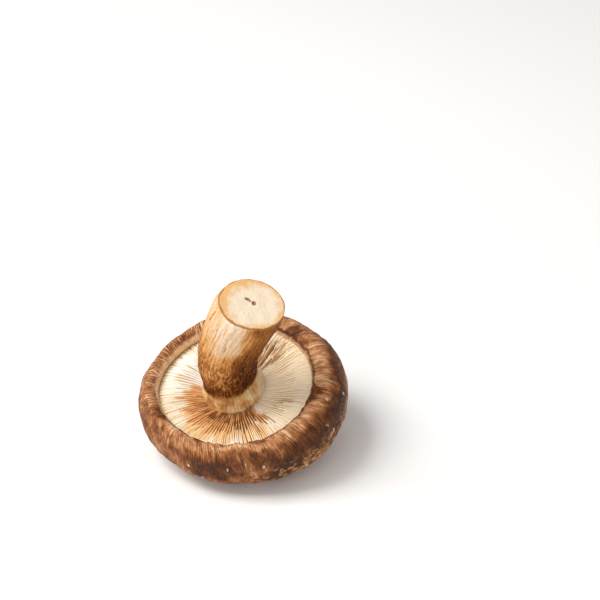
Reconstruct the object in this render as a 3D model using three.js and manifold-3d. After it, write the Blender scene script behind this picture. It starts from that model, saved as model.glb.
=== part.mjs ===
// A fresh shiitake mushroom, cut at the foot of its stem. It lies upside down on its cap, as on a kitchen
// table, so that the gills and the thick bent stem face up. It grew as one piece, and it is one solid:
// the cap with its rolled margin, the gills that stand on the cap's flesh, and the stem.
// Millimetres, +Z up. The origin is on the table, under the middle of the mushroom's box.
import * as THREE from "three";
import { mergeVertices } from "three/addons/utils/BufferGeometryUtils.js";
import Module from "manifold-3d";

const wasm = await Module();
wasm.setup();

// Driving dimensions. Everything is built upright in the mushroom's own frame first: z is 0 at the top of the
// rolled margin, the stem rises along +z and the crown of the cap is below.
const CAP_RADIUS = 32.7;
const CAP_DEPTH = 26; // from the top of the rolled margin down to the crown
const WIDEST_BELOW_ROLL = 8.5;
const MOUTH_RADIUS = 24.1; // inner edge of the rolled margin, round the gills
const GILL_BED_DEPTH = 9.2; // the flesh that the gills stand on
const GILL_HEIGHT = 5.7;
const STEM_RADIUS = 9.2;
const FOOT_RADIUS = 9.9; // at the cut
const FOOT_HEIGHT = 33.2; // of the cut's middle

// How it lies: it leans towards the front and a little to the left, and the cap is pressed flat where it
// rests.
const LEAN_FORWARD = THREE.MathUtils.degToRad(14.8);
const LEAN_LEFT = THREE.MathUtils.degToRad(6);
const PRESSED_DEPTH = 1.1;

// The gill chamber and the root of the stem sit a little to the left of the cap's middle.
const CHAMBER_OFFSET = -1.9;

// The cap is thicker at the back, so that its crown lies level on the table. This is the share of the lean
// that the crown makes up for.
const CROWN_LEVELLED = 0.66;

const CAP_SIDES = 72;
const STEM_SIDES = 28;
const LONG_GILLS = 48; // each with a short one beside it
const GILL_THICKNESS = 0.7;
const SEED = 7;

const brownSkin = new THREE.MeshStandardMaterial({ color: 0x7d5639, roughness: 0.8, metalness: 0 });

function smoothstep(low, high, value) {
  const t = Math.min(1, Math.max(0, (value - low) / (high - low)));
  return t * t * (3 - 2 * t);
}

// Repeatable random numbers from 0 to 1.
function randomFrom(seed) {
  let state = seed;
  return () => {
    state = (state + 0x6d2b79f5) | 0;
    let t = Math.imul(state ^ (state >>> 15), 1 | state);
    t = (t + Math.imul(t ^ (t >>> 7), 61 | t)) ^ t;
    return ((t ^ (t >>> 14)) >>> 0) / 4294967296;
  };
}

// Lobes of the cap's outline: how many, how far they reach as a share of the radius, and where they start.
const LOBES = [
  { count: 2, reach: 0.01, start: 0.5 },
  { count: 3, reach: 0.009, start: 2.1 },
  { count: 5, reach: 0.006, start: 4.0 },
];

// The outline is flatter towards one side: its direction, how far it falls short as a share of the radius,
// and how narrow the flat stretch is.
const FLAT_SIDE = { direction: THREE.MathUtils.degToRad(225), depth: 0.022, narrowness: 8 };

// Creases that run from the crown down the cap's skin: directions in degrees, half width and depth.
const CREASES_DEG = [12, 49, 83, 128, 166, 201, 247, 281, 322];
const CREASE_HALF_WIDTH = 2.2;
const CREASE_DEPTH = 0.7;

// Moves a point of the regular, turned cap to where it is on the grown one.
function grow(point) {
  const radius = Math.hypot(point.x, point.y);
  const angle = Math.atan2(point.y, point.x);
  const outer = smoothstep(18, CAP_RADIUS, radius);
  const lobe = LOBES.reduce((sum, l) => sum + l.reach * Math.cos(l.count * angle + l.start), 0);
  const nearFlat = Math.exp(FLAT_SIDE.narrowness * (Math.cos(angle - FLAT_SIDE.direction) - 1));
  const flat = FLAT_SIDE.depth * nearFlat * smoothstep(12, MOUTH_RADIUS, radius);
  const outside = smoothstep(-9, -14, point.z);
  const crease = CREASES_DEG.reduce((sum, degrees) => {
    const turn = angle - THREE.MathUtils.degToRad(degrees);
    const aside = radius * Math.sin(turn);
    return Math.cos(turn) > 0 ? sum + Math.exp(-((aside / CREASE_HALF_WIDTH) ** 2)) : sum;
  }, 0);
  const sunk = crease * CREASE_DEPTH * outside * smoothstep(12, 19, radius) * smoothstep(31, 25, radius);
  const inward = (1 - smoothstep(MOUTH_RADIUS, CAP_RADIUS, radius)) * smoothstep(-17, -10, point.z);
  const wave = 0.5 * Math.cos(2 * angle - 0.6) + 0.3 * Math.cos(3 * angle + 1.2);
  const stretch = 1 + outer * lobe - flat;
  const below = THREE.MathUtils.clamp((-WIDEST_BELOW_ROLL - point.z) / (CAP_DEPTH - WIDEST_BELOW_ROLL), 0, 1);
  const deeper = CROWN_LEVELLED * below * (point.y * Math.tan(LEAN_FORWARD) + point.x * Math.tan(LEAN_LEFT));
  point.set(
    point.x * stretch + CHAMBER_OFFSET * inward,
    point.y * stretch,
    point.z + sunk + outer * wave - deeper,
  );
  return point;
}

// A closed manifold solid from a geometry whose points may be doubled along its seams.
function solidOf(geometry) {
  const bare = new THREE.BufferGeometry().setAttribute("position", geometry.getAttribute("position"));
  const merged = mergeVertices(bare.setIndex(geometry.index), 1e-4);
  const corners = merged.index.array;
  const kept = [];
  for (let i = 0; i < corners.length; i += 3) {
    const [a, b, c] = [corners[i], corners[i + 1], corners[i + 2]];
    if (a !== b && b !== c && c !== a) kept.push(a, b, c);
  }
  return new wasm.Manifold(
    new wasm.Mesh({
      numProp: 3,
      vertProperties: merged.attributes.position.array,
      triVerts: new Uint32Array(kept),
    }),
  );
}

function geometryOf(solid) {
  const mesh = solid.getMesh();
  return new THREE.BufferGeometry()
    .setAttribute("position", new THREE.BufferAttribute(new Float32Array(mesh.vertProperties), 3))
    .setIndex(new THREE.BufferAttribute(new Uint32Array(mesh.triVerts), 1));
}

function moveEachPoint(geometry, mover) {
  const places = geometry.getAttribute("position");
  const point = new THREE.Vector3();
  for (let i = 0; i < places.count; i++) {
    point.fromBufferAttribute(places, i);
    const moved = mover(point);
    places.setXYZ(i, moved.x, moved.y, moved.z);
  }
  return geometry;
}

// A profile of (radius, height) points turned round the z axis.
function turned(points, sides) {
  return new THREE.LatheGeometry(points, sides).rotateX(Math.PI / 2);
}

// The cap: the dome's skin from the crown to the widest ring, over the rolled margin to the mouth, and back
// under it to the bed of the gills.
function cap() {
  const widest = -WIDEST_BELOW_ROLL;
  const skin = new THREE.SplineCurve([
    new THREE.Vector2(0, -CAP_DEPTH),
    new THREE.Vector2(0.36 * CAP_RADIUS, -CAP_DEPTH + 0.6),
    new THREE.Vector2(0.64 * CAP_RADIUS, -CAP_DEPTH + 3.6),
    new THREE.Vector2(0.86 * CAP_RADIUS, -CAP_DEPTH + 9.2),
    new THREE.Vector2(0.985 * CAP_RADIUS, widest - 4.2),
    new THREE.Vector2(0.99 * CAP_RADIUS, widest + 2.4),
    new THREE.Vector2(0.92 * CAP_RADIUS, -1.7),
    new THREE.Vector2(0.84 * CAP_RADIUS, 0),
    new THREE.Vector2(MOUTH_RADIUS + 0.7, -1.2),
    new THREE.Vector2(MOUTH_RADIUS, -3.2),
    new THREE.Vector2(MOUTH_RADIUS + 1.3, -6),
  ]);
  const bed = [new THREE.Vector2(MOUTH_RADIUS, -GILL_BED_DEPTH), new THREE.Vector2(0, -GILL_BED_DEPTH)];
  return solidOf(moveEachPoint(turned([...skin.getPoints(20), ...bed], CAP_SIDES), grow));
}

// The stem's middle line: straight out of the cap, then bent to the right.
const stemLine = new THREE.CatmullRomCurve3([
  new THREE.Vector3(-2.7, 1.6, -14),
  new THREE.Vector3(-2.8, 1.6, -6),
  new THREE.Vector3(-3.2, 1.4, 2),
  new THREE.Vector3(-2.5, 1.0, 9),
  new THREE.Vector3(-0.7, 0.5, 16),
  new THREE.Vector3(2.6, 0, 23),
  new THREE.Vector3(8.1, -0.4, FOOT_HEIGHT),
]);

// The foot is cut level rather than square to the bent stem: the direction in which the cut faces.
const CUT_FACES = new THREE.Vector3(0.29, 0, 0.96);

// The stem's radius along its line, from 0 at its sunken root to 1 at the cut: a flared collar on the gills,
// a waist above it, a slight swelling towards the foot, and a rounded shoulder round the cut.
const stemRadius = new THREE.SplineCurve([
  new THREE.Vector2(0, 9),
  new THREE.Vector2(0.15, 10.2),
  new THREE.Vector2(0.22, 9.4),
  new THREE.Vector2(0.28, 8.6),
  new THREE.Vector2(0.4, STEM_RADIUS - 0.2),
  new THREE.Vector2(0.6, STEM_RADIUS + 0.1),
  new THREE.Vector2(0.8, STEM_RADIUS + 0.6),
  new THREE.Vector2(0.93, STEM_RADIUS + 1.2),
  new THREE.Vector2(1, FOOT_RADIUS),
]);

function stem() {
  const rings = stemRadius.getPoints(14).map((p) => new THREE.Vector2(p.y, p.x));
  const profile = [new THREE.Vector2(0, 0), ...rings, new THREE.Vector2(0, 1)];
  const back = new THREE.Vector3(0, 1, 0);
  return solidOf(
    moveEachPoint(turned(profile, STEM_SIDES), (point) => {
      const share = Math.min(1, Math.max(0, point.z));
      const facing = stemLine.getTangent(share).lerp(CUT_FACES, share ** 3);
      const aside = back.clone().cross(facing).normalize();
      return stemLine.getPoint(share).addScaledVector(aside, point.x).addScaledVector(back, point.y);
    }),
  );
}

// One gill: a thin upright blade, rooted in the bed and in the margin, with a curved free edge.
function gill(direction, innerRadius) {
  const root = -GILL_BED_DEPTH - 1.2;
  const rim = -GILL_BED_DEPTH + GILL_HEIGHT;
  const outline = new THREE.Shape([
    new THREE.Vector2(innerRadius, root),
    new THREE.Vector2(MOUTH_RADIUS + 2.2, root),
    new THREE.Vector2(MOUTH_RADIUS + 2.2, rim - 0.8),
    new THREE.Vector2(MOUTH_RADIUS, rim + 0.2),
    new THREE.Vector2(MOUTH_RADIUS - 4, rim + 0.1),
    new THREE.Vector2(MOUTH_RADIUS - 8, rim - 0.6),
    new THREE.Vector2(innerRadius + 1.6, rim - 1.9),
  ]);
  const blade = new THREE.ExtrudeGeometry(outline, { depth: GILL_THICKNESS, bevelEnabled: false });
  blade.translate(0, 0, -GILL_THICKNESS / 2).rotateX(Math.PI / 2).rotateZ(direction);
  return solidOf(moveEachPoint(blade, grow));
}

// Long gills run from the margin to the stem. The short ones between them stop part of the way.
function gills() {
  const random = randomFrom(SEED);
  const pitch = (2 * Math.PI) / LONG_GILLS;
  const blades = [];
  for (let i = 0; i < LONG_GILLS; i++) {
    const direction = (i + 0.16 * (random() - 0.5)) * pitch;
    blades.push(gill(direction, STEM_RADIUS - 1.4));
    blades.push(gill(direction + pitch / 2, 13.5 + 4 * random()));
  }
  return blades;
}

function mushroom() {
  const whole = wasm.Manifold.union([cap(), stem(), ...gills()]);
  const lean = new THREE.Euler(LEAN_FORWARD, -LEAN_LEFT, 0);
  const lying = geometryOf(whole).applyMatrix4(new THREE.Matrix4().makeRotationFromEuler(lean));
  lying.computeBoundingBox();
  const table = new THREE.BoxGeometry(200, 200, 100);
  table.translate(0, 0, lying.boundingBox.min.z + PRESSED_DEPTH - 50);
  return geometryOf(solidOf(lying).subtract(solidOf(table)));
}

const geometry = mushroom();
geometry.computeBoundingBox();
const { min, max } = geometry.boundingBox;

const shiitake = new THREE.Mesh(geometry, brownSkin);
shiitake.name = "shiitake";
shiitake.position.set(-(min.x + max.x) / 2, -(min.y + max.y) / 2, -min.z);

const part = new THREE.Group();
part.add(shiitake);
export default part;
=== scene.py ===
# %% [markdown]
# # A fresh shiitake, lying on its cap
# The mushroom lies upside down, so that the rolled brown margin, the cream gills and the thick bent stem
# show. It grew as one piece. Here it is dressed in three meshes that meet inside the flesh: the cap with
# its margin, the gills, and the stem. Each has a skin of its own, so three meshes keep their patterns simple.

# %% Load the measured mushroom
import math
import random

import bmesh
import bpy
from mathutils import Matrix, Vector, noise


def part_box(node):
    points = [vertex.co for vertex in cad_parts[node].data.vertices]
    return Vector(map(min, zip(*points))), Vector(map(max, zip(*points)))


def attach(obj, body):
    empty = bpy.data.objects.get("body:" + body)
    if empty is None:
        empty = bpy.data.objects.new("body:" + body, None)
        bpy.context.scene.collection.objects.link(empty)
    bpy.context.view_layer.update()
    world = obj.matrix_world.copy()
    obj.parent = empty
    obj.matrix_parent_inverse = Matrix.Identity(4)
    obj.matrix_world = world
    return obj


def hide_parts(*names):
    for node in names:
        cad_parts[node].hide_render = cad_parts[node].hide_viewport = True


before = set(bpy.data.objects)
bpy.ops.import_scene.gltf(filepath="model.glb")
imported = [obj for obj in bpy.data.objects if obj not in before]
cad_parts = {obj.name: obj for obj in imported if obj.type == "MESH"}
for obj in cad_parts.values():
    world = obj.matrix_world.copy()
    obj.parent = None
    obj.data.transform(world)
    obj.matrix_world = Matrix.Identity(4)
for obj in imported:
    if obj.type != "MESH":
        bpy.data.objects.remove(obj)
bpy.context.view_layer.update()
scene = bpy.context.scene

# %% [markdown]
# ## Driving sizes
# The shape functions below work in millimetres, in the mushroom's own upright frame: z is 0 at the top of the
# rolled margin, the stem rises along +z, and the crown of the cap is below. These are the same sizes that the
# measured solid has, so the fine surfaces land on it.

# %% Sizes in millimetres, and how the mushroom leans
MM = 0.001
CAP_RADIUS = 32.7
CAP_DEPTH = 26
WIDEST_BELOW_ROLL = 8.5
MOUTH_RADIUS = 24.1
GILL_BED_DEPTH = 9.2
STEM_RADIUS = 9.2
FOOT_RADIUS = 9.9
FOOT_HEIGHT = 33.2
CHAMBER_OFFSET = -1.9
LEAN_FORWARD = math.radians(14.8)
LEAN_LEFT = math.radians(6)
CROWN_LEVELLED = 0.66
PRESSED_DEPTH = 1.1


# %% [markdown]
# ## Small helpers for shapes
# A smooth step fades one thing into another without a visible edge. A line through a few points gives
# outlines that are easy to read and to change, and walking it at even steps keeps the mesh's faces alike.

# %% Fades and smooth lines
FINE_STEPS = 4000


def fade(low, high, value):
    """0 at low, 1 at high, smooth between. It falls where low is the larger one."""
    share = min(1, max(0, (value - low) / (high - low)))
    return share * share * (3 - 2 * share)


def point_on(points, share):
    """The place at a share from 0 to 1 of the Catmull-Rom line through some points."""
    place = share * (len(points) - 1)
    i = min(int(place), len(points) - 2)
    t = place - i
    before, start, end, after = (Vector(points[max(0, min(len(points) - 1, k))]) for k in range(i - 1, i + 3))
    slope_in = (end - before) / 2
    slope_out = (after - start) / 2
    return (
        start * (2 * t**3 - 3 * t**2 + 1)
        + slope_in * (t**3 - 2 * t**2 + t)
        + end * (3 * t**2 - 2 * t**3)
        + slope_out * (t**3 - t**2)
    )


def even_points(points, spacing_at):
    """Points along a line, each with its length from the start. They are spacing_at(length) apart."""
    fine = [point_on(points, k / FINE_STEPS) for k in range(FINE_STEPS + 1)]
    length = 0
    kept = [(fine[0], 0.0)]
    for before, here in zip(fine, fine[1:]):
        length += (here - before).length
        if length - kept[-1][1] >= spacing_at(length):
            kept.append((here, length))
    kept[-1] = (fine[-1], length)
    return kept


def wander(place, size):
    """Soft noise from -1 to 1, whose bumps are about the size apart."""
    return noise.noise(place / size)


# %% [markdown]
# ## Camera
# The photo seems to be taken with a longish lens from about 31 degrees above the table. The camera is put
# where a known point, 22 mm up the middle of the mushroom, lands on the right pixel at the right size.

# %% The camera at the photo's angle
PHOTO_WIDTH_PX = 600
ELEVATION = math.radians(31.4)
LENS_MM = 85
SENSOR_MM = 36
PX_PER_MM = 3.2
AIM_POINT_MM = Vector((0, 0, 22))
AIM_PX = (242.7, 379.5)

lens_px = LENS_MM / SENSOR_MM * PHOTO_WIDTH_PX
distance = lens_px / PX_PER_MM
right = Vector((1, 0, 0))
up = Vector((0, math.sin(ELEVATION), math.cos(ELEVATION)))
back = Vector((0, -math.cos(ELEVATION), math.sin(ELEVATION)))
aside = right * ((PHOTO_WIDTH_PX / 2 - AIM_PX[0]) / PX_PER_MM)
above = up * ((AIM_PX[1] - PHOTO_WIDTH_PX / 2) / PX_PER_MM)

camera_data = bpy.data.cameras.new("camera")
camera_data.lens = LENS_MM
camera_data.sensor_width = SENSOR_MM
camera_data.clip_start = 0.01
camera = bpy.data.objects.new("camera", camera_data)
camera.location = (AIM_POINT_MM + back * distance + aside + above) * MM
camera.rotation_euler = (math.pi / 2 - ELEVATION, 0, 0)
scene.collection.objects.link(camera)
scene.camera = camera
print("camera at", [round(c, 3) for c in camera.location])

# %% [markdown]
# ## Table and light
# The photo has a plain white table and one big soft light from the left, with a pale room around it. A large
# area light gives the soft shadow to the right, a weaker one at the front left lights the near margin, and
# the world's even light fills the rest.

# %% The floor
FLOOR_HALF = 3
floor_mesh = bpy.data.meshes.new("floor")
bm = bmesh.new()
bmesh.ops.create_grid(bm, x_segments=1, y_segments=1, size=FLOOR_HALF)
bm.to_mesh(floor_mesh)
bm.free()
floor = bpy.data.objects.new("floor", floor_mesh)
scene.collection.objects.link(floor)

floor_paint = bpy.data.materials.new("table_white")
floor_paint.use_nodes = True
floor_shader = floor_paint.node_tree.nodes["Principled BSDF"]
floor_shader.inputs["Base Color"].default_value = (0.9, 0.895, 0.89, 1)
floor_shader.inputs["Roughness"].default_value = 0.6
floor_shader.inputs["Specular IOR Level"].default_value = 0.2
floor.data.materials.append(floor_paint)

# %% The lights
world = bpy.data.worlds.new("pale_room")
world.use_nodes = True
world.node_tree.nodes["Background"].inputs["Color"].default_value = (1, 0.985, 0.97, 1)
world.node_tree.nodes["Background"].inputs["Strength"].default_value = 0.55
scene.world = world
scene.view_settings.view_transform = "Standard"


def add_light(name, place, size, watts, colour):
    data = bpy.data.lights.new(name, "AREA")
    data.size = size
    data.energy = watts
    data.color = colour
    light = bpy.data.objects.new(name, data)
    light.location = place
    light.rotation_euler = (-Vector(place)).to_track_quat("-Z", "Y").to_euler()
    scene.collection.objects.link(light)


add_light("window", place=(-0.56, -0.03, 0.85), size=0.6, watts=9.4, colour=(1, 0.985, 0.96))
add_light("fill", place=(-0.5, -0.8, 0.45), size=0.6, watts=2.7, colour=(1, 1, 1))
print("one window light, one fill, and a pale room")

# %% [markdown]
# ## From upright to grown
# All three meshes are shaped upright. The gills' chamber sits a little to one side, the cap's outline has
# slow lobes and one flatter side, and shallow creases run down from the crown. One function, `grow`, moves
# every point from the regular turned shape to the grown one, so that the cap and the gills stay together.
# A lobe has its count round the cap, its reach as a share of the radius, and the angle that it starts at. A
# wave of the rim has the same, with its reach in millimetres.

# %% The grown shape
LOBES = [(2, 0.01, 0.5), (3, 0.009, 2.1), (5, 0.006, 4.0)]
LOBES_FROM = 18
WAVES = [(2, 0.5, -0.6), (3, 0.3, 1.2)]
FLAT_DIRECTION = math.radians(225)
FLAT_DEPTH = 0.022
FLAT_NARROWNESS = 8
FLAT_FROM = 12
CHAMBER_FADES = (-17, -10)
CREASES = [math.radians(a) for a in (12, 49, 83, 128, 166, 201, 247, 281, 322)]
CREASE_HALF_WIDTH = 2.2
CREASE_DEPTH = 0.7
CREASE_STARTS = (12, 19)
CREASE_ENDS = (31, 25)
CREASE_TOP = -9
CREASE_FULL = -14
CREASES_FROM_LIP = 12


def crease_at(angle, radius):
    """How deep in a crease a place of the dome is, from 0 to about 1."""
    depth = 0
    for middle in CREASES:
        if math.cos(angle - middle) > 0:
            depth += math.exp(-((radius * math.sin(angle - middle) / CREASE_HALF_WIDTH) ** 2))
    return depth * fade(*CREASE_STARTS, radius) * fade(*CREASE_ENDS, radius)


def grow(point):
    """Moves a point of the regular turned shape to its place in the grown one."""
    radius = math.hypot(point.x, point.y)
    angle = math.atan2(point.y, point.x)
    lobe = sum(reach * math.cos(count * angle + start) for count, reach, start in LOBES)
    flat = FLAT_DEPTH * math.exp(FLAT_NARROWNESS * (math.cos(angle - FLAT_DIRECTION) - 1))
    outer = fade(LOBES_FROM, CAP_RADIUS, radius)
    stretch = 1 + outer * lobe - flat * fade(FLAT_FROM, MOUTH_RADIUS, radius)
    sunk = 0
    if point.z < CREASE_TOP:
        sunk = CREASE_DEPTH * fade(CREASE_TOP, CREASE_FULL, point.z) * crease_at(angle, radius)
    inward = fade(CAP_RADIUS, MOUTH_RADIUS, radius) * fade(*CHAMBER_FADES, point.z)
    wave = sum(height * math.cos(count * angle + start) for count, height, start in WAVES)
    below = min(1, max(0, (-WIDEST_BELOW_ROLL - point.z) / (CAP_DEPTH - WIDEST_BELOW_ROLL)))
    deeper = CROWN_LEVELLED * below * (point.y * math.tan(LEAN_FORWARD) + point.x * math.tan(LEAN_LEFT))
    x = point.x * stretch + CHAMBER_OFFSET * inward
    return Vector((x, point.y * stretch, point.z + sunk + outer * wave - deeper))


# %% [markdown]
# ## The cap
# The cap is a turned shape, so its outline is drawn once and spun round the z axis. The outline runs from
# the crown over the widest ring and the rolled margin, down inside the mouth, and along the bed of the gills.
# Each outline point keeps its length along the skin in a layer that the spin copies round, so that relief and
# colour can follow the skin. The margin gets the finer steps, because its pleats are fine.

# %% The cap's outline
CAP_STEPS = 560
MARGIN_FROM = 30
DOME_SPACING = 0.8
MARGIN_SPACING = 0.3
LIP_Z = -1.4
LIP_RADIUS = MOUTH_RADIUS + 0.9
widest = -WIDEST_BELOW_ROLL
cap_outline = [
    (0, 0, -CAP_DEPTH),
    (0.36 * CAP_RADIUS, 0, -CAP_DEPTH + 0.6),
    (0.64 * CAP_RADIUS, 0, -CAP_DEPTH + 3.6),
    (0.86 * CAP_RADIUS, 0, -CAP_DEPTH + 9.2),
    (0.985 * CAP_RADIUS, 0, widest - 4.2),
    (0.99 * CAP_RADIUS, 0, widest + 2.4),
    (0.92 * CAP_RADIUS, 0, -1.7),
    (0.84 * CAP_RADIUS, 0, 0),
    (MOUTH_RADIUS + 0.7, 0, -1.2),
    (MOUTH_RADIUS, 0, -3.2),
    (MOUTH_RADIUS + 1.3, 0, -6),
]
skin_points = even_points(
    cap_outline, lambda length: DOME_SPACING if length < MARGIN_FROM else MARGIN_SPACING
)
lip_length = min(length for place, length in skin_points if place.z > LIP_Z and place.x < LIP_RADIUS)
skin_length = skin_points[-1][1]
bed = [
    (Vector((22, 0, -4.5)), skin_length + 4),
    (Vector((18, 0, -5.1)), skin_length + 8),
    (Vector((14, 0, -6.1)), skin_length + 12),
    (Vector((7, 0, -8.8)), skin_length + 19),
    (Vector((0, 0, -GILL_BED_DEPTH)), skin_length + 26),
]
print("skin from crown to lip, mm:", round(lip_length, 1))


# %% Spin it
def spun(places, steps):
    """A bmesh of an outline turned round z. Its layer `along` holds each place's length along the outline."""
    bm = bmesh.new()
    along = bm.verts.layers.float.new("along")
    line = []
    for place, length in places:
        vert = bm.verts.new(place)
        vert[along] = length
        line.append(vert)
    edges = [bm.edges.new(pair) for pair in zip(line, line[1:])]
    geometry = line + edges
    bmesh.ops.spin(
        bm, geom=geometry, axis=(0, 0, 1), cent=(0, 0, 0), steps=steps, angle=math.tau, use_merge=True
    )
    bmesh.ops.remove_doubles(bm, verts=bm.verts, dist=1e-4)
    bmesh.ops.recalc_face_normals(bm, faces=bm.faces)
    return bm


cap_bm = spun(skin_points + bed, CAP_STEPS)
along = cap_bm.verts.layers.float["along"]
unrolled = cap_bm.verts.layers.float_vector.new("unrolled")
creased = cap_bm.verts.layers.float.new("creased")
for vert in cap_bm.verts:
    angle = math.atan2(vert.co.y, vert.co.x)
    from_lip = lip_length - vert[along]
    vert[unrolled] = (CAP_RADIUS * math.cos(angle), CAP_RADIUS * math.sin(angle), from_lip)
    radius = math.hypot(vert.co.x, vert.co.y)
    vert[creased] = crease_at(angle, radius) if from_lip > CREASES_FROM_LIP else 0
    vert.co = grow(vert.co)
cap_bm.normal_update()
print("cap:", len(cap_bm.faces), "faces")

# %% [markdown]
# ## Relief of the skin
# Where the margin rolls in, the skin gathers in fine pleats that run across the roll. On the flank the pleats
# fade, and the skin has soft dents and slanting wrinkles. The lip itself is slightly ragged. All of it is one
# height for each vertex, put on along the vertex's normal.

# %% Pleats, dents and a ragged lip
PLEAT_SPACING = 1
PLEAT_DEPTH = 0.24
PLEAT_SHARPNESS = 0.7
PLEAT_MEAN = 0.45
WRINKLE_SPACING = 3
WRINKLE_DEPTH = 0.3
DENT_SIZE = 9
DENT_DEPTH = 0.45
RAGGED_SPACING = 2.6
RAGGED_DEPTH = 0.55
RAGGED_REACH = 1.6
RELIEF_ENDS_INSIDE = -4


def skin_relief(place):
    """How far the skin stands out, in mm. place.z is the distance from the lip, and is negative inside it."""
    bent = Vector((place.x, place.y, place.z * 0.1 + 1.5 * wander(place, 14)))
    pleats = abs(wander(bent, PLEAT_SPACING)) ** PLEAT_SHARPNESS - PLEAT_MEAN
    on_roll = fade(-1.5, 1, place.z) * (0.2 + 0.8 * fade(13, 4, place.z))
    slanted = Vector((place.x + 0.7 * place.z, place.y + 0.5 * place.z, 0.35 * place.z))
    wrinkles = (abs(wander(slanted, WRINKLE_SPACING)) - 0.25) * fade(4, 10, place.z)
    dents = wander(place, DENT_SIZE) + 0.5 * wander(place, DENT_SIZE / 2)
    at_lip = math.exp(-((place.z / RAGGED_REACH) ** 2))
    ragged = wander(Vector((place.x, place.y, 0)), RAGGED_SPACING) * at_lip
    relief = on_roll * PLEAT_DEPTH * pleats + WRINKLE_DEPTH * wrinkles
    relief += DENT_DEPTH * dents * fade(-1, 5, place.z)
    return relief + RAGGED_DEPTH * ragged


outer_skin = [vert for vert in cap_bm.verts if vert[unrolled].z > RELIEF_ENDS_INSIDE]
moves = [(vert, vert.normal * skin_relief(vert[unrolled])) for vert in outer_skin]
for vert, move in moves:
    vert.co += move
print("relief up to", round(max(move.length for vert, move in moves), 2), "mm")

# %% [markdown]
# ## Putting it on the table
# The solid was leaned, cut flat where it is pressed on the table, and centred on its box. The cap reaches
# furthest in every direction but up, so the leaned outline's own box says where the mushroom goes.

# %% The matrix from upright millimetres to lying metres
BOX_TURNS = 72
BOX_EVERY = 3
lean = Matrix.Rotation(LEAN_FORWARD, 4, "X") @ Matrix.Rotation(-LEAN_LEFT, 4, "Y")
turns = [Matrix.Rotation(math.tau * k / BOX_TURNS, 3, "Z") for k in range(BOX_TURNS)]
leaned = [lean @ grow(turn @ place) for turn in turns for place, length in skin_points[::BOX_EVERY]]
low = Vector([min(p[axis] for p in leaned) for axis in range(3)])
high = Vector([max(p[axis] for p in leaned) for axis in range(3)])
box_low, box_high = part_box("shiitake")
middle = (box_low + box_high) / 2 / MM
shift = Vector((middle.x - (low.x + high.x) / 2, middle.y - (low.y + high.y) / 2, -low.z - PRESSED_DEPTH))
lying = Matrix.Scale(MM, 4) @ Matrix.Translation(shift) @ lean
print("shift, mm:", [round(c, 2) for c in shift])

# %% Flatten the pressed spot, and finish a piece
SOFT_CONTACT = 0.5
PRESS_REACH = 4
SOFT_RISE = (math.sqrt(PRESSED_DEPTH**2 + SOFT_CONTACT**2) - PRESSED_DEPTH) / 2


def pressed(height):
    """Flattens what would be under the table, with a soft edge. Heights are in mm."""
    if height > PRESS_REACH:
        return height
    rounded = (height + math.sqrt(height**2 + SOFT_CONTACT**2)) / 2
    return max(0, rounded - SOFT_RISE * fade(PRESS_REACH, 0, height))


def finish_piece(bm, name):
    """Lays a shaped bmesh on the table and makes it a smooth-shaded object that rides with the mushroom."""
    bmesh.ops.transform(bm, matrix=lying, verts=bm.verts)
    for vert in bm.verts:
        vert.co.z = pressed(vert.co.z / MM) * MM
    for face in bm.faces:
        face.smooth = True
    mesh = bpy.data.meshes.new(name)
    bm.to_mesh(mesh)
    bm.free()
    piece = bpy.data.objects.new(name, mesh)
    scene.collection.objects.link(piece)
    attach(piece, "root")
    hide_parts("shiitake")
    print(name, "has", sum(len(p.vertices) - 2 for p in mesh.polygons), "triangles")
    return piece


cap = finish_piece(cap_bm, "cap")

# %% [markdown]
# ## The gills
# A shiitake has a couple of hundred gills. Every other one stops part of the way to the stem, which keeps the
# gaps alike as the circle gets smaller. One blade is made as a box, cut along its length and thinned at its
# free edge. Each gill is a copy of it, bent to its own place. Neighbours wander together, and part in a few
# places, where the cap has dried or been touched.

# %% One blade
BLADE_STEPS = 8
EDGE_THINNED_BY = 0.24
SHOULDER_HEIGHT = 0.93
blade_mesh = bpy.data.meshes.new("gill_blade")
bm = bmesh.new()
bmesh.ops.create_cube(bm, size=1, matrix=Matrix.Translation((0.5, 0, 0.5)))
lengthwise = [e for e in bm.edges if abs(e.verts[0].co.x - e.verts[1].co.x) > 0.5]
bmesh.ops.subdivide_edges(bm, edges=lengthwise, cuts=BLADE_STEPS - 1)
top_edges = [e for e in bm.edges if all(v.co.z > 0.9 for v in e.verts)]
free_edges = [e for e in top_edges if e.verts[0].co.y == e.verts[1].co.y]
bmesh.ops.bevel(
    bm,
    geom=free_edges,
    offset=EDGE_THINNED_BY,
    affect="EDGES",
    segments=1,
    profile=0.5,
    material=-1,
    clamp_overlap=True,
)
for vert in bm.verts:
    if 0 < vert.co.z < 0.99:
        vert.co.z = SHOULDER_HEIGHT
bm.to_mesh(blade_mesh)
print("a blade has", len(bm.faces), "faces")
bm.free()

# %% Where the gills go
GILLS = 232
GILL_OUTER = 26.4
GILL_INNER = 7.6
GILL_FILL = 0.94
GILL_ROOT = -GILL_BED_DEPTH - 1
EDGE_FROM = 7
free_edge = [
    (EDGE_FROM, 0, -6.3),
    (10.2, 0, -6.0),
    (13.4, 0, -4.9),
    (16.6, 0, -4.0),
    (19.8, 0, -3.3),
    (23, 0, -2.9),
    (GILL_OUTER, 0, -3.6),
]
partings = [
    (math.radians(direction), push, spread, inner, outer)
    for direction, push, spread, inner, outer in (
        (22, 0.030, 0.05, 9, 17),
        (31, 0.020, 0.04, 14, 22),
        (44, 0.040, 0.05, 8, 15),
        (52, 0.030, 0.04, 11, 20),
        (61, 0.024, 0.04, 13, 24),
        (176, 0.013, 0.03, 15, 24),
        (338, 0.012, 0.03, 15, 23),
    )
]


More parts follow.
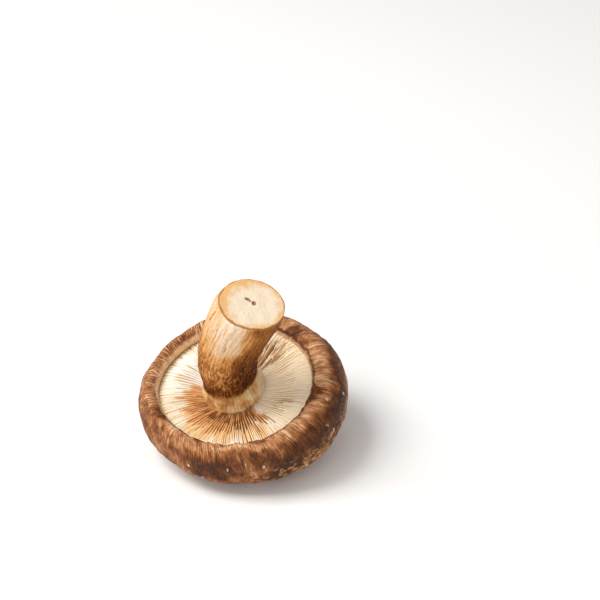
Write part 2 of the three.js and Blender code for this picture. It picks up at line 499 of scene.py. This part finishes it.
def edge_height(radius, angle):
    """The height of a gill's free edge. It is a little lower at the back left, and higher at the right."""
    share = min(1, max(0, (radius - EDGE_FROM) / (GILL_OUTER - EDGE_FROM)))
    rise = 0.45 * math.cos(angle - math.radians(335)) * fade(14, 22, radius)
    rise -= 0.9 * max(0, math.cos(angle - math.radians(140))) ** 2 * fade(18, 24, radius)
    merge = 0.9 * max(0, math.cos(angle - math.radians(20))) * fade(15, 9, radius)
    return point_on(free_edge, share).z + rise + merge


def swayed(angle, radius):
    """A gill's direction where it is at some radius: neighbours wander alike, and part at a few places."""
    spot = Vector((9 * math.cos(angle), 9 * math.sin(angle), radius / 6))
    swing = 0.03 * wander(spot, 5) + 0.01 * wander(spot, 1.2)
    for parting, push, spread, inner, outer in partings:
        turn = math.remainder(angle - parting, math.tau)
        reach = fade(inner - 2, inner + 1, radius) * fade(outer + 2, outer - 1, radius)
        swing += push * math.tanh(turn / 0.01) * math.exp(-((turn / spread) ** 2)) * reach
    return angle + swing * fade(7, 12, radius) * fade(25.5, 23, radius)


# %% Set the gills
DIRECTION_JITTER = 0.3
SHORT_INNER = 12
SHORT_INNER_SPREAD = 6
SHORT_SLOPE = 4
SHORT_DROP = 2.6
LIFT_SPREAD = 0.34
THINNEST = 0.3
THICKEST = 0.64
random.seed(11)
gill_bm = bmesh.new()
tone = gill_bm.verts.layers.float.new("tone")
depth = gill_bm.verts.layers.float.new("depth")
unrolled = gill_bm.verts.layers.float_vector.new("unrolled")
for i in range(GILLS):
    direction = math.tau * (i + DIRECTION_JITTER * (random.random() - 0.5)) / GILLS
    inner = GILL_INNER if i % 2 == 0 else SHORT_INNER + SHORT_INNER_SPREAD * random.random()
    shade = random.random()
    lift = LIFT_SPREAD * (random.random() - 0.5)
    fill = GILL_FILL * (0.84 + 0.16 * random.random())
    first = len(gill_bm.verts)
    gill_bm.from_mesh(blade_mesh)
    gill_bm.verts.ensure_lookup_table()
    for vert in gill_bm.verts[first:]:
        x, y, z = vert.co
        radius = inner + (GILL_OUTER - inner) * x
        gills_here = GILLS / 2 * (1 + fade(SHORT_INNER, 16, radius))
        thick = min(THICKEST, max(THINNEST, fill * math.tau * radius / gills_here))
        angle = swayed(direction, radius)
        top = edge_height(radius, angle) + lift
        if inner > GILL_INNER:
            top -= SHORT_DROP * fade(SHORT_SLOPE, 0, radius - inner)
        outward = Vector((math.cos(angle), math.sin(angle), 0))
        sideways = Vector((-outward.y, outward.x, 0))
        height = GILL_ROOT + (top - GILL_ROOT) * z
        vert[tone] = shade
        vert[depth] = top - height
        vert[unrolled] = (*(MOUTH_RADIUS * outward.xy), radius)
        vert.co = grow(outward * radius + sideways * (y * thick) + Vector((0, 0, height)))
gills = finish_piece(gill_bm, "gills")

# %% [markdown]
# ## The stem
# The stem is also spun first, as a straight turned shape with its length along z, and then bent along the
# line of the real one. The relief goes on while it is straight: shaggy scales low down, long splits near the
# foot, and a torn edge on the flared collar at the gills. The cut face is part of the same outline.

# %% Spin the straight stem
stem_line = [
    (-2.7, 1.6, -14),
    (-2.8, 1.6, -6),
    (-3.2, 1.4, 2),
    (-2.5, 1.0, 9),
    (-0.7, 0.5, 16),
    (2.6, 0, 23),
    (8.1, -0.4, FOOT_HEIGHT),
]
CUT_FACES = Vector((0.29, 0, 0.96))
STEM_LENGTH = sum((Vector(b) - Vector(a)).length for a, b in zip(stem_line, stem_line[1:]))
radius_at_share = [
    (9, 0),
    (10.2, 0.15),
    (9.4, 0.22),
    (8.6, 0.28),
    (STEM_RADIUS - 0.2, 0.4),
    (STEM_RADIUS + 0.1, 0.6),
    (STEM_RADIUS + 0.6, 0.8),
    (STEM_RADIUS + 1.2, 0.93),
    (FOOT_RADIUS, 1),
]
STEM_STEPS = 340
SIDE_SPACING = 0.23
FACE_RINGS = 40
stem_outline = [(radius, 0, share * STEM_LENGTH) for radius, share in radius_at_share]
side_points = even_points(stem_outline, lambda length: SIDE_SPACING)
side_length = side_points[-1][1]
face_points = [
    (Vector((FOOT_RADIUS * (1 - k / FACE_RINGS), 0, STEM_LENGTH)), side_length + FOOT_RADIUS * k / FACE_RINGS)
    for k in range(1, FACE_RINGS + 1)
]
stem_bm = spun([(Vector((0, 0, 0)), 0.0)] + side_points + face_points, STEM_STEPS)
print("stem length, mm:", round(STEM_LENGTH, 1), "with", len(stem_bm.faces), "faces")

# %% Relief of the stem
COLLAR_TOP = 0.262 * STEM_LENGTH
FIBRE_DEPTH = 0.1
SPLIT_DEPTH = 0.26
SCALE_DEPTH = 0.22
LUMP_DEPTH = 0.22
SKIRT_DEPTH = 0.16
RING_DEPTH = 0.18
PITH_DEPTH = 0.5
PITH_HOLES = [(-1.4, 1.7, 0.72, 0.5), (-0.6, 1.1, 0.4, 0.35), (0.6, 0.3, 0.62, 0.8)]


def stem_relief(place):
    """How far the stem's side stands out, in mm. place.z is the height from the sunk root."""
    share = place.z / STEM_LENGTH
    drawn = Vector((place.x, place.y, place.z * 0.09))
    fibres = 0.6 * wander(drawn, 0.8) + wander(drawn, 2.2)
    splits = fade(0.2, 0.5, wander(drawn + Vector((30, 0, 0)), 1.1))
    splits += 0.6 * fade(0.25, 0.5, wander(drawn, 0.6))
    scales = abs(wander(Vector((place.x, place.y, place.z * 0.3)), 0.8)) - 0.25
    lumps = wander(place, 8) + 0.4 * wander(place, 3)
    upper = fade(0.5, 0.72, share) * fade(1, 0.96, share)
    shaggy = fade(0.25, 0.32, share) * fade(0.8, 0.55, share)
    torn = wander(Vector((place.x, place.y, 0)), 2.2)
    skirt = math.exp(-(((place.z - COLLAR_TOP + 0.7 * torn) / 0.6) ** 2))
    low_ring = fade(0.3, 0.2, share) * wander(place, 1.6)
    relief = FIBRE_DEPTH * fibres - SPLIT_DEPTH * splits * upper + SCALE_DEPTH * scales * shaggy
    return relief + LUMP_DEPTH * lumps + SKIRT_DEPTH * skirt + RING_DEPTH * low_ring


def face_relief(x, y):
    """Height of the cut face, in mm: nearly flat, with a little unevenness and the pith's holes."""
    rough = 0.16 * wander(Vector((x, y, 0)), 3) + 0.05 * wander(Vector((x, y, 5)), 0.8)
    return rough - PITH_DEPTH * pith_at(x, y) ** 3


def pith_at(x, y):
    """1 in a hole of the pith, 0 outside."""
    shake = 0.25 * wander(Vector((x, y, 9)), 0.5)
    holes = (((x - hx) / width) ** 2 + ((y - hy) / height) ** 2 for hx, hy, width, height in PITH_HOLES)
    return max(fade(1.9, 0.4, hole + shake) for hole in holes)


# %% Bend the stem
unrolled = stem_bm.verts.layers.float_vector.new("unrolled")
on_cut = stem_bm.verts.layers.float_vector.new("on_cut")
pith = stem_bm.verts.layers.float.new("pith")
STEP = 0.01
for vert in stem_bm.verts:
    angle = math.atan2(vert.co.y, vert.co.x)
    radius = math.hypot(vert.co.x, vert.co.y)
    share = min(1, max(0, vert.co.z / STEM_LENGTH))
    place = Vector((STEM_RADIUS * math.cos(angle), STEM_RADIUS * math.sin(angle), vert.co.z))
    facing = point_on(stem_line, min(1, share + STEP)) - point_on(stem_line, max(0, share - STEP))
    facing = facing.normalized().lerp(CUT_FACES, share**3).normalized()
    sideways = Vector((0, 1, 0)).cross(facing).normalized()
    spread = 1 + stem_relief(place) / STEM_RADIUS
    x, y = vert.co.x * spread, vert.co.y * spread
    inside = fade(0, 0.6, FOOT_RADIUS - radius) if share == 1 else 0
    vert[unrolled] = place
    vert[on_cut] = (x, y, FOOT_RADIUS - radius if share == 1 else -1)
    vert[pith] = pith_at(x, y) if inside else 0
    raised = face_relief(x, y) * inside if inside else 0
    vert.co = point_on(stem_line, share) + sideways * x + Vector((0, 1, 0)) * y + facing * raised
stem = finish_piece(stem_bm, "stem")


# %% [markdown]
# ## Writing materials as sums
# A material's maths is easier to read as sums than as a web of nodes. `Wire` holds one socket: an expression
# on wires adds the Math nodes that it needs, and `node` adds any other node.

# %% Wires
class Wire:
    """One socket of a material, with arithmetic."""

    def __init__(self, tree, socket=None):
        self.tree = tree
        self.socket = socket

    def node(self, kind, settings=None, inputs=None, output=0):
        """Adds a node with its settings first, then its inputs, and gives the wire of one of its outputs."""
        made = self.tree.nodes.new(kind)
        for name, value in (settings or {}).items():
            if name == "stops":
                ramp = made.color_ramp
                while len(ramp.elements) < len(value):
                    ramp.elements.new(1)
                for element, (position, colour) in zip(ramp.elements, value):
                    element.position = position
                    element.color = (*colour, 1)
            else:
                setattr(made, name, value)
        for name, value in (inputs or {}).items():
            if isinstance(value, Wire):
                self.tree.links.new(value.socket, made.inputs[name])
            else:
                made.inputs[name].default_value = value
        return Wire(self.tree, made.outputs[output])

    def math(self, operation, first, second):
        return self.node("ShaderNodeMath", {"operation": operation}, {0: first, 1: second})

    def __add__(self, other):
        return self.math("ADD", self, other)

    def __sub__(self, other):
        return self.math("SUBTRACT", self, other)

    def __rsub__(self, other):
        return self.math("SUBTRACT", other, self)

    def __mul__(self, other):
        return self.math("MULTIPLY", self, other)

    __radd__ = __add__
    __rmul__ = __mul__

    def absolute(self):
        return self.math("ABSOLUTE", self, 0)

    def between(self, low, high):
        """0 at low, 1 at high, smooth between. It falls where low is the larger one."""
        limits = {"Value": self, "From Min": low, "From Max": high}
        return self.node("ShaderNodeMapRange", {"interpolation_type": "SMOOTHSTEP"}, limits)

    def stretched(self, x, y, z):
        return self.node("ShaderNodeVectorMath", {"operation": "MULTIPLY"}, {0: self, 1: (x, y, z)})

    def moved(self, x, y, z):
        return self.node("ShaderNodeVectorMath", {"operation": "ADD"}, {0: self, 1: (x, y, z)})

    def noise(self, size, detail=2, rough=0.5):
        """Noise round 0, mostly from -0.5 to 0.5, whose bumps are about the size apart."""
        inputs = {"Vector": self, "Scale": 1 / size, "Detail": detail, "Roughness": rough}
        return self.node("ShaderNodeTexNoise", {"normalize": False}, inputs)

    def dots(self, size):
        """The distance to the nearest of many scattered dots, as a share of the size that they are apart."""
        return self.node("ShaderNodeTexVoronoi", {}, {"Vector": self, "Scale": 1 / size})

    def part(self, axis):
        return self.node("ShaderNodeSeparateXYZ", {}, {0: self}, axis)

    def ramp(self, *stops):
        return self.node("ShaderNodeValToRGB", {"stops": stops}, {0: self})

    def colours(self, bottom, top):
        """Mixes two colours by this wire. Each is a wire or three numbers."""
        bottom, top = (c if isinstance(c, Wire) else (*c, 1) for c in (bottom, top))
        return self.node("ShaderNodeMix", {"data_type": "RGBA"}, {0: self, 6: bottom, 7: top}, 2)


# %% Starting a material
def new_finish(name, roughness, specular, subsurface, glow):
    """A material, a wire to build it with, and its main shader."""
    material = bpy.data.materials.new(name)
    material.use_nodes = True
    shader = material.node_tree.nodes["Principled BSDF"]
    shader.inputs["Roughness"].default_value = roughness
    shader.inputs["Specular IOR Level"].default_value = specular
    shader.inputs["Subsurface Weight"].default_value = subsurface
    shader.inputs["Subsurface Radius"].default_value = glow
    shader.inputs["Subsurface Scale"].default_value = 0.0016
    return material, Wire(material.node_tree), shader


def attribute(wire, name, output):
    return wire.node("ShaderNodeAttribute", {"attribute_name": name}, output=output)


def plug(wire, shader, socket):
    wire.tree.links.new(wire.socket, shader.inputs[socket])


VECTOR, NUMBER = 1, 2

# %% [markdown]
# ## The cap's skin
# The skin is a satin brown. Fine pleats run over the roll from the lip outwards, with paler pinkish ridges
# between dark lines. The top of the roll and the ridges at the left carry a painted highlight, and a belt on
# the near right is darker, partly in its skin and partly as painted shade. Here and there the skin has torn
# in a thin cream thread or a fleck, and golden streaks lie along the lower edge at the near right, partly
# real and partly painted light bounced from the table. A dark line at the lip is painted shade where it meets
# the gills. Inside the lip it turns to a tan band. The layer `unrolled` gives the place round the cap and the
# distance from the lip, so that the pleats can be long one way and fine the other. Everything that lightens
# or darkens, painted light and shade too, is summed into one tone, and one ramp turns the tone into the
# brown.

# %% Tone of the skin
PLEATS_ROUND = 200
material, wire, shader = new_finish(
    "cap_skin", roughness=0.5, specular=0.25, subsurface=0.06, glow=(1, 0.4, 0.2)
)
around = attribute(wire, "unrolled", VECTOR)
folds = attribute(wire, "creased", NUMBER)
from_lip = around.part(2)
to_left = around.part(0) * (-0.8 / CAP_RADIUS) + around.part(1) * (0.6 / CAP_RADIUS)
patches = around.noise(9, 2, 0.5)
blotches = around.moved(0, 0, 33).stretched(1, 1, 0.8).noise(4, 2, 0.55)
mottle = around.stretched(1, 1, 0.7).noise(2.4, 3, 0.6)
specks = around.stretched(1, 1, 0.5).noise(0.7, 3, 0.65)
turn = wire.math("ARCTAN2", around.part(1), around.part(0))
wavering = around.stretched(1, 1, 0.3).noise(5, 2, 0.5)
strength = around.stretched(1, 1, 0.4).moved(0, 0, 60).noise(2.2, 2, 0.6)
pleats = wire.math("SINE", turn * PLEATS_ROUND + wavering * 12, 0) * (strength + 0.5)
hairs = around.stretched(1, 1, 0.12).moved(40, 0, 0).noise(0.35, 1, 0.5)
slants = around.moved(0, 17, 0).stretched(1, 1, 0.5).noise(2.4, 3, 0.65)
edge_zone = from_lip + patches * 5
on_roll = edge_zone.between(0, 1.5) * edge_zone.between(9.5, 3)
# The band near the lip is lightened: partly the paler tan skin of the roll's top, partly a painted highlight
# where the roll catches the light.
lip_tan_and_highlight = edge_zone.between(0, 1.2) * edge_zone.between(8, 3)
# A belt below the roll is darkened on the near right: partly darker skin, partly painted shade on the side
# away from the light.
dark_and_shaded_belt = edge_zone.between(4, 7) * edge_zone.between(15, 10) * to_left.between(0.2, -0.6)
tone = 0.41 + patches * 0.34 + blotches * 0.14 + mottle * 0.22 + specks * 0.16
tone = tone + pleats * (on_roll * 0.15 + 0.02) + hairs * (on_roll * 0.11 + 0.01)
tone = tone + lip_tan_and_highlight * (0.25 - to_left.between(0.1, 0.8) * 0.14)
tone = tone - dark_and_shaded_belt * 0.29 - to_left.absolute() * 0.02
# Pale pleat ridges on the crest at the left are a painted highlight, where the ridges face the light.
left_ridge_highlights = pleats.between(0.1, 0.45) * to_left.between(0.4, 0.9)
left_ridge_highlights = left_ridge_highlights * from_lip.between(-1, 0) * from_lip.between(5, 2.5)
tone = tone + left_ridge_highlights * 0.24
tone = tone + (0.16 - slants.absolute()) * edge_zone.between(8, 13) * 0.26

# %% Colour of the skin
skin = tone.ramp(
    (0.0, (0.06, 0.016, 0.003)),
    (0.25, (0.14, 0.04, 0.008)),
    (0.45, (0.28, 0.095, 0.024)),
    (0.65, (0.45, 0.195, 0.075)),
    (0.85, (0.66, 0.36, 0.19)),
    (1.0, (0.8, 0.5, 0.28)),
)
ragged = from_lip + mottle * 0.5
# The dark line at the lip, on the near side and right, is painted shade in the groove where the lip meets the
# gills.
lip_shade_line = ragged.between(0.7, 0.1) * ragged.between(-1.1, -0.5) * to_left.between(0.75, 0.2)
skin = (lip_shade_line * 0.75).colours(skin, (0.05, 0.016, 0.005))
gold_tone = 0.5 + to_left * 0.4 + specks * 0.4 + hairs * 0.3
gold = gold_tone.between(0, 1).colours((0.5, 0.26, 0.1), (0.95, 0.64, 0.36))
inside_lip = ragged - to_left.between(0.3, 1) * 0.5
skin = inside_lip.between(-0.1, -1.6).colours(skin, gold)
skin = from_lip.between(-3.4, -4.6).colours(skin, (0.72, 0.5, 0.3))

# %% Threads, flecks, cracks, and golden streaks with painted bounce light
thread_field = around.stretched(1, 1, 0.12).moved(3, 0, 5).dots(1.9) + specks * 0.06
threads = thread_field.between(0.15, 0.07) * from_lip.between(0.8, 2) * from_lip.between(22, 16)
bent = around.stretched(1, 1, 0.7)
fleck_field = bent.dots(5.5) + specks * 0.07
flecks = fleck_field.between(0.1, 0.05) * from_lip.between(1.5, 4)
split_line = (folds + slants * 0.35).between(0.75, 1.05) * edge_zone.between(14, 20)
# Golden streaks on the lower flank at the near right: partly real golden wrinkles, partly painted light
# bounced up from the table.
crumpled = around.moved(0, 0, 71).stretched(0.6, 0.6, 1.3).noise(1.2, 3, 0.65) + slants * 0.2
strands_and_bounce = crumpled.between(-0.05, 0.6) * from_lip.between(9, 14) * from_lip.between(25, 18)
strands_and_bounce = strands_and_bounce * to_left.between(-0.4, -0.95)
skin = (strands_and_bounce * 0.75).colours(skin, (0.72, 0.4, 0.18))
marks = threads * 0.6 + flecks * 0.9 + split_line * 0.5
skin = marks.between(0, 1).colours(skin, (0.82, 0.56, 0.36))
plug(skin, shader, "Base Color")

# %% Sheen and fine relief of the skin
plug(0.58 - pleats * 0.12 - patches * 0.1 + marks * 0.1, shader, "Roughness")
height = pleats * (on_roll * 0.4 + 0.1) + hairs * 0.25 + specks * 0.3
height = height + mottle * 0.2 + marks * 0.35 + strands_and_bounce * 0.6
bump = wire.node("ShaderNodeBump", {}, {"Height": height, "Distance": 0.00035, "Strength": 0.8})
plug(bump, shader, "Normal")
cap.data.materials.append(material)
print("cap skin:", len(material.node_tree.nodes), "nodes")

# %% [markdown]
# ## The gills' flesh
# The flesh is cream and lets some light through, so it has subsurface scattering. Round the stem it is
# stained brown where it was bruised, on the left and near side. The stain's edge runs out along the gills, so
# it is worked out from the distance to the stem and from streaks that are long along the gills.

# %% Gill flesh
material, wire, shader = new_finish(
    "gill_flesh", roughness=0.75, specular=0.2, subsurface=0.55, glow=(1, 0.7, 0.45)
)
around = attribute(wire, "unrolled", VECTOR)
shade = attribute(wire, "tone", NUMBER)
below_edge = attribute(wire, "depth", NUMBER)
radius = around.part(2)


def towards(direction):
    """1 on the side of the cap at this direction, -1 on the other side."""
    angle = math.radians(direction)
    x_share = math.cos(angle) / MOUTH_RADIUS
    y_share = math.sin(angle) / MOUTH_RADIUS
    return around.part(0) * x_share + around.part(1) * y_share


streaks = around.stretched(1, 1, 0.1).noise(0.9, 3, 0.6)
fingers = around.stretched(1, 1, 0.25).noise(2.6, 3, 0.6)
blotches = around.stretched(1, 1, 0.7).noise(4.5, 2, 0.5)
edge = radius - towards(268).between(0.3, 1) * 7.3 + fingers * 3.2 + blotches * 1.5 + streaks * 0.8
stained_side = (towards(236) + blotches * 0.3).between(0.3, 0.48)
stain = edge.between(18, 14.8) * stained_side
deep = (edge + blotches * 3).between(13.4, 10.4) * (towards(238) + blotches * 0.3).between(0.25, 0.6)
flesh = (shade * 0.45 + 0.4 + blotches * 0.5).colours((0.84, 0.68, 0.52), (0.94, 0.87, 0.78))
flesh = towards(0).between(-0.6, 0.9).colours(flesh, (0.96, 0.75, 0.54))
low_left = towards(214).between(0.6, 1) * 0.4
flesh = low_left.colours(flesh, (0.82, 0.6, 0.38))
tan_tone = (streaks * 0.45 + fingers * 0.8 + radius * 0.08 - 0.75).between(0, 1)
tan = tan_tone.colours((0.6, 0.27, 0.09), (0.87, 0.54, 0.27))
tan = ((radius + fingers * 3).between(18, 24) * 0.45).colours(tan, (0.87, 0.65, 0.45))
flesh = (stain * (0.9 + streaks * 0.16)).between(0, 1).colours(flesh, tan)
flesh = (deep * (0.2 + fingers + blotches * 0.6)).between(0, 1).colours(flesh, (0.37, 0.14, 0.037))
ring_side = (towards(248) + fingers * 0.2).between(0.35, 0.6)
ring = (radius + fingers * 3 + blotches * 2).between(15.2, 13.2) * ring_side
flesh = (ring * stained_side * (0.45 + fingers * 1.4)).between(0, 1).colours(flesh, (0.2, 0.07, 0.016))
# Painted shade: the stem's shadow on the gills just behind it, at the upper right, as a brown patch with
# streaks.
shade_behind_stem = towards(59).between(0.9, 0.985) * radius.between(25, 19)
flesh = (shade_behind_stem * (0.6 + streaks * 1.5 + fingers)).between(0, 1).colours(flesh, (0.47, 0.28, 0.14))
fringe = towards(140).between(0.1, 0.9) * (radius + streaks * 1.6).between(21.8, 23.6)
flesh = (fringe * 0.7).colours(flesh, (0.8, 0.56, 0.3))
spots = (blotches + streaks).between(0.12, 0.35) * towards(331).between(0.975, 0.995) * radius.between(13, 16)
flesh = (spots * radius.between(21.5, 19) * 0.6).colours(flesh, (0.55, 0.28, 0.1))
# Painted shade down the sides of the blades, darker towards the gaps between them.
flesh = (below_edge.between(0.3, 2.2) * 0.7).colours(flesh, (0.58, 0.36, 0.18))
plug(flesh, shader, "Base Color")
bump = wire.node("ShaderNodeBump", {}, {"Height": streaks, "Distance": 0.0002, "Strength": 0.4})
plug(bump, shader, "Normal")
gills.data.materials.append(material)
print("gill flesh:", len(material.node_tree.nodes), "nodes")

# %% [markdown]
# ## The stem's skin and cut
# The stem is fibrous: cream near the cut, golden brown and shaggy lower down, and dark just above the pale
# collar. Its right side is darker all the way up, partly browner skin and partly painted shade away from the
# light. As on the cap, one tone sums all of it and one ramp colours it. The cut face is moist cream flesh
# inside a thin orange-brown rim.

# %% Tone and colour of the stem's side
material, wire, shader = new_finish(
    "stem_flesh", roughness=0.75, specular=0.16, subsurface=0.15, glow=(1, 0.55, 0.3)
)
around = attribute(wire, "unrolled", VECTOR)
cut_place = attribute(wire, "on_cut", VECTOR)
up_stem = around.part(2) * (1 / STEM_LENGTH)
rightward = around.part(0) * (1 / STEM_RADIUS)
clouds = around.noise(5, 2, 0.5)
shag = around.stretched(1, 1, 0.32).noise(0.7, 3, 0.6)
fibres = around.stretched(1, 1, 0.1).noise(0.8, 3, 0.6)
grain = around.stretched(1, 1, 0.5).noise(0.5, 2, 0.6)
level = up_stem + clouds * 0.05 + fibres * 0.03
shaggy = level.between(0.75, 0.5)
tone = 0.2 + level.between(0.29, 0.47) * 0.3 + level.between(0.56, 0.92) * 0.38
# The right side is darkened: partly browner skin, partly painted shade on the side away from the light.
browner_and_shaded_side = (rightward + clouds * 0.35).between(-0.3, 0.5) * level.between(0.27, 0.42)
tone = tone - browner_and_shaded_side * (0.38 + level.between(0.56, 0.92) * 0.18) - rightward.between(-0.5, -1) * 0.13
tone = tone + shag * (0.05 + shaggy * 0.24) + fibres * (0.14 - shaggy * 0.03) + grain * 0.12
splits = (around.stretched(1, 1, 0.13).moved(9, 0, 0).dots(1.3) + grain * 0.1).between(0.2, 0.08)
tone = tone - splits * level.between(0.55, 0.7) * 0.3
skin = tone.ramp(
    (0.0, (0.06, 0.014, 0.001)),
    (0.2, (0.17, 0.05, 0.006)),
    (0.4, (0.36, 0.13, 0.026)),
    (0.6, (0.62, 0.3, 0.09)),
    (0.8, (0.7, 0.47, 0.28)),
    (1.0, (0.82, 0.69, 0.55)),
)

# %% Collar, rim and cut
collar_tone = 0.62 + clouds * 0.5 + grain * 0.14 + fibres * 0.16 + rightward * 0.22
collar_colour = collar_tone.ramp(
    (0.0, (0.16, 0.06, 0.016)), (0.35, (0.46, 0.21, 0.07)), (0.6, (0.74, 0.44, 0.17)), (0.9, (0.9, 0.7, 0.44))
)
collar = (up_stem + clouds * 0.03 + grain * 0.02 - rightward.between(0.1, 0.9) * 0.03).between(0.285, 0.243)
skin = collar.colours(skin, collar_colour)
skin = (up_stem + clouds * 0.004).between(0.986, 0.994).colours(skin, (0.36, 0.16, 0.05))
cut_clouds = cut_place.noise(3.4, 1, 0.5)
inward = cut_place.part(2) + cut_clouds * 0.4
left_and_back = (rightward * -1 + around.part(1) * (0.7 / STEM_RADIUS)).between(-0.1, 1)
cut_specks = cut_place.noise(0.5, 3, 0.6)
rim_width = 0.8 + left_and_back * 2 + cut_clouds * 1.4
tanned = (rim_width - inward).between(-2.4, 1.6)
cut_tone = tanned * 0.9 + cut_specks * 0.38 + cut_clouds * 0.16
cut = cut_tone.between(0, 1).colours((0.8, 0.67, 0.51), (0.74, 0.43, 0.17))
cut = (inward + cut_specks * 0.3).between(0.42, 0.12).colours(cut, (0.42, 0.19, 0.06))
hollow = attribute(wire, "pith", NUMBER)
cut = (hollow.between(0, 0.8) * 0.9).colours(cut, (0.28, 0.14, 0.06))
on_face = cut_place.part(2).between(-0.2, 0.05)
skin = on_face.colours(skin, cut)
plug(skin, shader, "Base Color")
bump_height = (fibres * 0.6 + shag * shaggy * 0.5 + grain * 0.2) * (1 - on_face) + cut_specks * on_face * 0.2
bump = wire.node("ShaderNodeBump", {}, {"Height": bump_height, "Distance": 0.0004, "Strength": 0.7})
plug(bump, shader, "Normal")
stem.data.materials.append(material)
print("stem flesh:", len(material.node_tree.nodes), "nodes")
